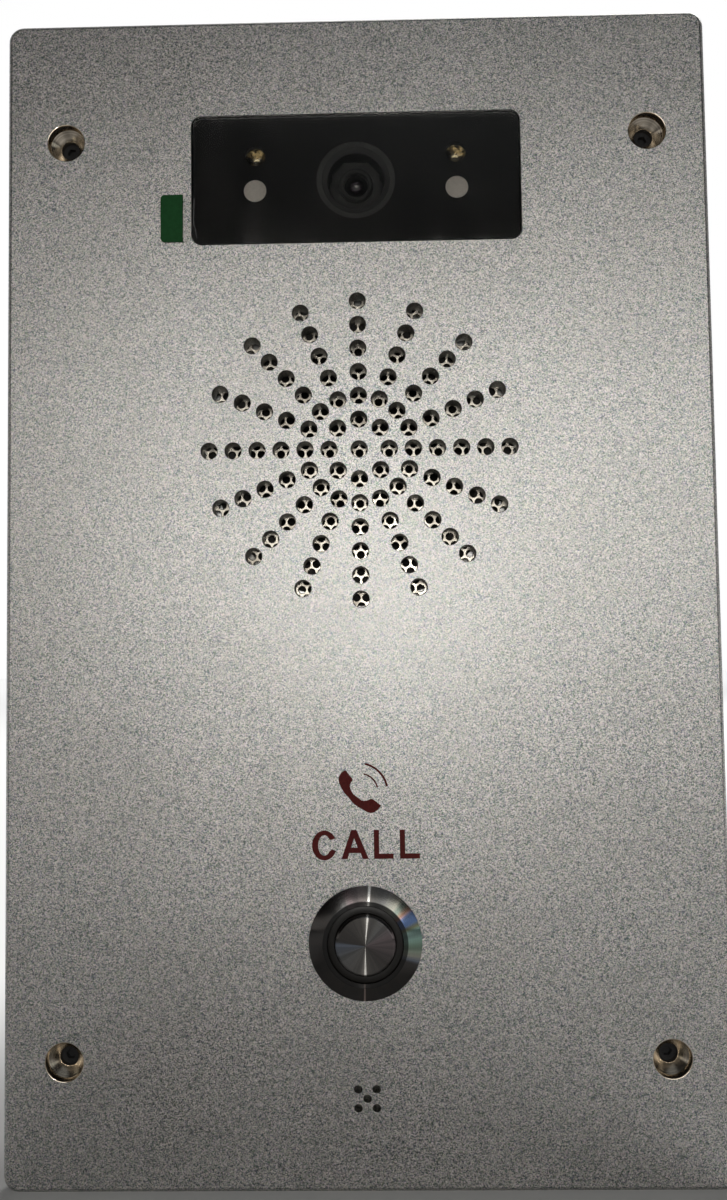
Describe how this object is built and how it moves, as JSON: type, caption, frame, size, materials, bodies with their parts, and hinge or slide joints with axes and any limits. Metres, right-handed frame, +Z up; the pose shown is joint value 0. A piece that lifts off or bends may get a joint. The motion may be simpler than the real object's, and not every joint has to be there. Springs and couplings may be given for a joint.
{
  "type": "video door station",
  "caption": "Flat metal door entry panel with a camera window, a round speaker grille, a ring-lit call button, microphone holes and a rear housing with a network socket.",
  "frame": {"origin": "middle of the four fixing holes, on the panel's rear face", "axes": "+X to the right and +Z up, seen from the front. +Y backwards, into the wall."},
  "size_m": [0.1414, 0.0559, 0.2326],
  "materials": {
    "anodised_panel": "bead-blasted, silver anodised",
    "bright_steel": "satin",
    "turned_steel": "turned and polished",
    "zinc_steel": "zinc plated",
    "tinted_pane": "dark tinted, glossy",
    "clear_film": "clear film",
    "lens": "coated",
    "lamp_plastic": "clear, warm yellow",
    "frosted_plastic": "frosted grey",
    "green_tape": "tape",
    "black_film": "printed black",
    "black_plastic": "moulded",
    "foam_tape": "foam adhesive",
    "foam_rubber": "closed cell foam",
    "black_rubber": "moulded",
    "paper_cone": "pressed paper",
    "ferrite": "sintered",
    "circuit_board": "solder mask",
    "chip_plastic": "moulded",
    "tinned_steel": "tinned",
    "gold_contacts": "gold plated",
    "green_plastic": "moulded",
    "blue_plastic": "moulded",
    "yellow_tape": "wound with tape",
    "smoked_plastic": "translucent, unlit",
    "spring_steel": "bright wire",
    "vent_film": "acoustic membrane",
    "capsule_metal": "drawn can",
    "housing_plastic": "moulded, fine grain"
  },
  "bodies": {
    "station": {"front_panel": "anodised_panel", "panel_studs": "zinc_steel", "retaining_nuts": "zinc_steel", "panel_gasket": "foam_rubber", "protective_film": "clear_film", "film_pull_tab": "green_tape", "camera_window": "tinted_pane", "window_mask": "black_film", "window_tape": "foam_tape", "camera_bezel": "black_plastic", "camera_board": "circuit_board", "camera_screws": "zinc_steel", "lens_baffle": "black_rubber", "lens_holder": "black_plastic", "lens_barrel": "black_plastic", "lens_glass": "lens", "image_sensor": "chip_plastic", "white_lamps": "lamp_plastic", "light_pipes": "frosted_plastic", "infrared_lamps": "chip_plastic", "speaker_guard": "bright_steel", "speaker_gasket": "foam_rubber", "speaker_frame": "zinc_steel", "speaker_diaphragm": "paper_cone", "speaker_magnet": "ferrite", "speaker_yoke": "zinc_steel", "button_housing": "turned_steel", "button_seal": "black_rubber", "button_nut": "zinc_steel", "button_light_ring": "smoked_plastic", "button_spring": "spring_steel", "button_base": "black_plastic", "button_terminals": "gold_contacts", "microphone_membrane": "vent_film", "microphone_boot": "black_rubber", "microphone_capsule": "capsule_metal", "board_standoffs": "zinc_steel", "main_board": "circuit_board", "spacer_standoffs": "zinc_steel", "processor": "chip_plastic", "processor_shield": "tinned_steel", "network_jack": "black_plastic", "jack_contacts": "gold_contacts", "terminal_block": "green_plastic", "terminal_screws": "zinc_steel", "relay": "blue_plastic", "transformer": "yellow_tape", "capacitors": "chip_plastic", "rear_housing": "housing_plastic", "housing_screws": "zinc_steel"},
    "call_button": {"button_actuator": "turned_steel", "button_plunger": "black_plastic"}
  },
  "joints": [
    {"name": "call_button_press", "type": "slide", "parent": "station", "child": "call_button", "axis": [0, 1, 0], "range_m": [0, 0.0025], "stiffness_N_per_m": 800, "springref_m": -0.0019, "deforming": ["button_spring"]}
  ]
}
